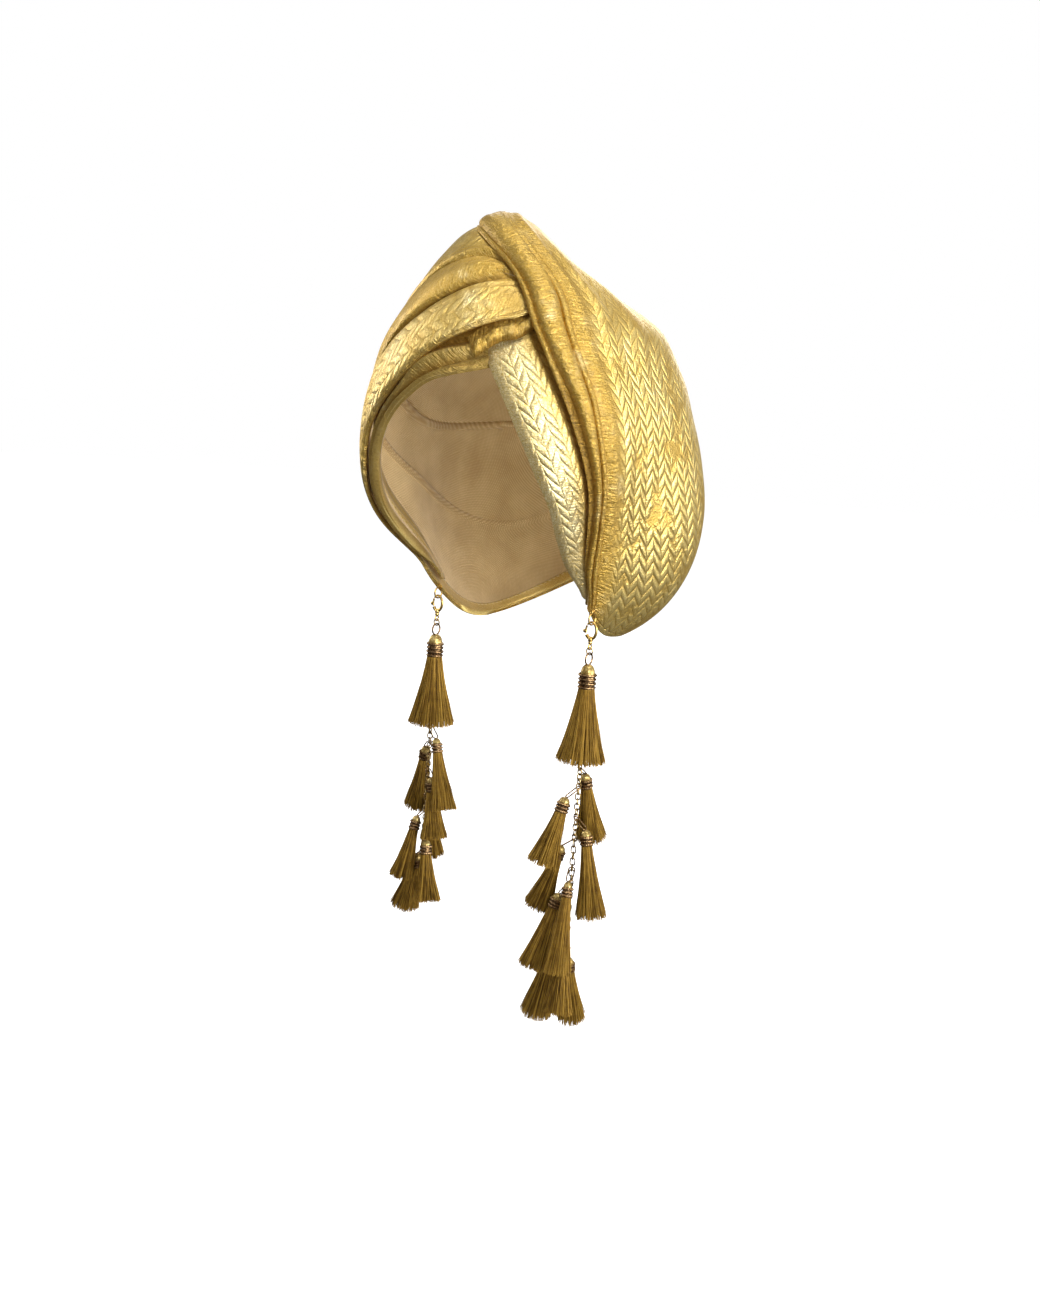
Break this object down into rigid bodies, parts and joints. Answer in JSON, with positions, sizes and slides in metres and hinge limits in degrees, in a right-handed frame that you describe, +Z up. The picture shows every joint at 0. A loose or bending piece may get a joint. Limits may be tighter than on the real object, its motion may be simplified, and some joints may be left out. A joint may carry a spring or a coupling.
{
  "type": "turban headband with tassel drops",
  "caption": "Padded gold herringbone turban headband, crossed at the front and open at the crown, with a clasped chain of tassels at each side.",
  "frame": {"origin": "middle of the wearer's head, where the headband sits", "axes": "+Z up, -Y towards the wearer's front, +X towards the wearer's left"},
  "size_m": [0.1819, 0.206, 0.4834],
  "materials": {
    "gold_cloth": "gold-foiled padded cloth with an embossed herringbone, soft satin shine",
    "bright_gold": "polished gold-coloured plate",
    "pale_gold": "pale gold plated wire, slightly worn",
    "bronze_silk": "antique gold silk floss with dark bronze wire wraps"
  },
  "bodies": {
    "headband": {"left_swathe": "gold_cloth", "right_swathe": "gold_cloth", "left_face_band": "gold_cloth", "right_face_band": "gold_cloth", "knot_tuck": "gold_cloth", "left_sewn_ring": "bright_gold", "right_sewn_ring": "bright_gold"},
    "left_drop": {"left_clasp": "bright_gold", "left_link": "pale_gold", "left_chain": "pale_gold", "left_tassel_01": "bronze_silk", "left_tassel_02": "bronze_silk", "left_tassel_03": "bronze_silk", "left_tassel_04": "bronze_silk", "left_tassel_05": "bronze_silk", "left_tassel_06": "bronze_silk", "left_tassel_07": "bronze_silk", "left_tassel_08": "bronze_silk", "left_tassel_09": "bronze_silk", "left_tassel_10": "bronze_silk"},
    "left_lever": {"left_clasp_lever": "bright_gold"},
    "right_drop": {"right_clasp": "bright_gold", "right_link": "pale_gold", "right_chain": "pale_gold", "right_tassel_01": "bronze_silk", "right_tassel_02": "bronze_silk", "right_tassel_03": "bronze_silk", "right_tassel_04": "bronze_silk", "right_tassel_05": "bronze_silk", "right_tassel_06": "bronze_silk", "right_tassel_07": "bronze_silk", "right_tassel_08": "bronze_silk"},
    "right_lever": {"right_clasp_lever": "bright_gold"}
  },
  "joints": [
    {"name": "left_drop_swing", "type": "hinge", "parent": "headband", "child": "left_drop", "pos_m": [0.0586, -0.0028, -0.0944], "axis": [0, 1, 0], "range_deg": [-20, 9]},
    {"name": "left_clasp_lever_turn", "type": "hinge", "parent": "left_drop", "child": "left_lever", "pos_m": [0.05525, -0.0028, -0.09954], "axis": [0, 1, 0], "range_deg": [0, 18], "stiffness_Nm_per_rad": 0.0005, "springref_deg": -22.92},
    {"name": "right_drop_swing", "type": "hinge", "parent": "headband", "child": "right_drop", "pos_m": [-0.0586, -0.0028, -0.0944], "axis": [0, 1, 0], "range_deg": [-9, 20]},
    {"name": "right_clasp_lever_turn", "type": "hinge", "parent": "right_drop", "child": "right_lever", "pos_m": [-0.06195, -0.0028, -0.09954], "axis": [0, 1, 0], "range_deg": [0, 18], "stiffness_Nm_per_rad": 0.0005, "springref_deg": -22.92}
  ]
}
